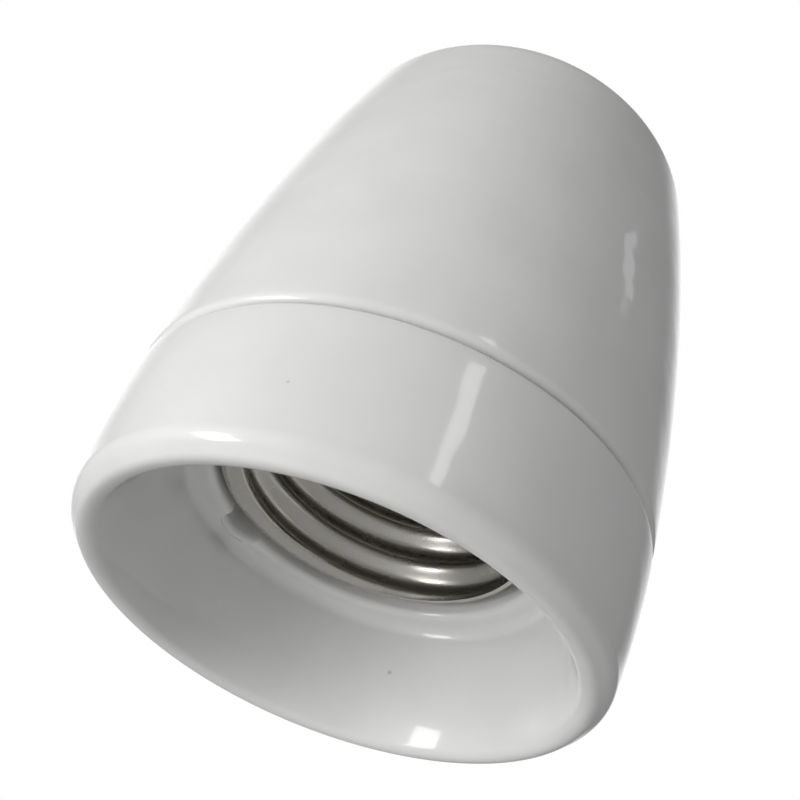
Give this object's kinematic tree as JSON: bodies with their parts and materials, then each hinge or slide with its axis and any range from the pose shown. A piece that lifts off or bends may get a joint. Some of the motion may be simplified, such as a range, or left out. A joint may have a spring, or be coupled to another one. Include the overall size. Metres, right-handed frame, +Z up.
{
  "type": "lamp holder",
  "caption": "Suspended lamp holder in glazed porcelain: barrel dome with a threaded cable entry, screw-on skirt ring and screw shell with centre contact.",
  "frame": {"origin": "centre of the mouth rim's plane, on which the holder can stand", "axes": "+Z up the holder's axis, towards the cable entry; +X towards the neutral terminal and the entry's grub screw"},
  "size_m": [0.0462, 0.0462, 0.0648],
  "materials": {
    "glazed_porcelain": "gloss white glaze",
    "steatite": "unglazed, dry pressed",
    "nickel_plated_brass": "rolled sheet, bright nickel plated",
    "spring_bronze": "cold rolled strip",
    "turned_brass": "turned and sawn, bare",
    "zinc_plated_steel": "bright zinc plated",
    "fibre_gasket": "matte"
  },
  "bodies": {
    "dome_body": {"dome": "glazed_porcelain", "entry_bush": "turned_brass", "bush_gasket": "fibre_gasket", "bush_washer": "zinc_plated_steel", "bush_nut": "turned_brass", "entry_grub_screw": "zinc_plated_steel", "earth_tag": "turned_brass", "earth_screw": "zinc_plated_steel"},
    "insert_body": {"contact_base": "steatite", "screw_shell": "nickel_plated_brass", "live_terminal": "turned_brass", "neutral_terminal": "turned_brass", "live_clamp_screw": "zinc_plated_steel", "neutral_clamp_screw": "zinc_plated_steel", "centre_contact": "spring_bronze", "centre_contact_screw": "zinc_plated_steel", "neutral_screw": "zinc_plated_steel", "shell_screws": "zinc_plated_steel", "shell_nuts": "zinc_plated_steel"},
    "ring_body": {"skirt_ring": "glazed_porcelain"},
    "button_body": {"contact_button": "nickel_plated_brass"}
  },
  "joints": [
    {"name": "insert_slide", "type": "slide", "parent": "dome_body", "child": "insert_body", "axis": [0, 0, -1], "range_m": [0, 0.006]},
    {"name": "ring_turn", "type": "hinge", "parent": "insert_body", "child": "ring_body", "pos_m": [0, 0, 0.016], "axis": [0, 0, -1], "range_deg": [0, 540]},
    {"name": "contact_press", "type": "slide", "parent": "insert_body", "child": "button_body", "axis": [0, 0, 1], "range_m": [0, 0.0015], "stiffness_N_per_m": 3000, "deforming": ["centre_contact"]}
  ],
  "couplings": [
    {"joint": "insert_slide", "follows": "ring_turn", "m_per_rad": 0.00063662}
  ]
}
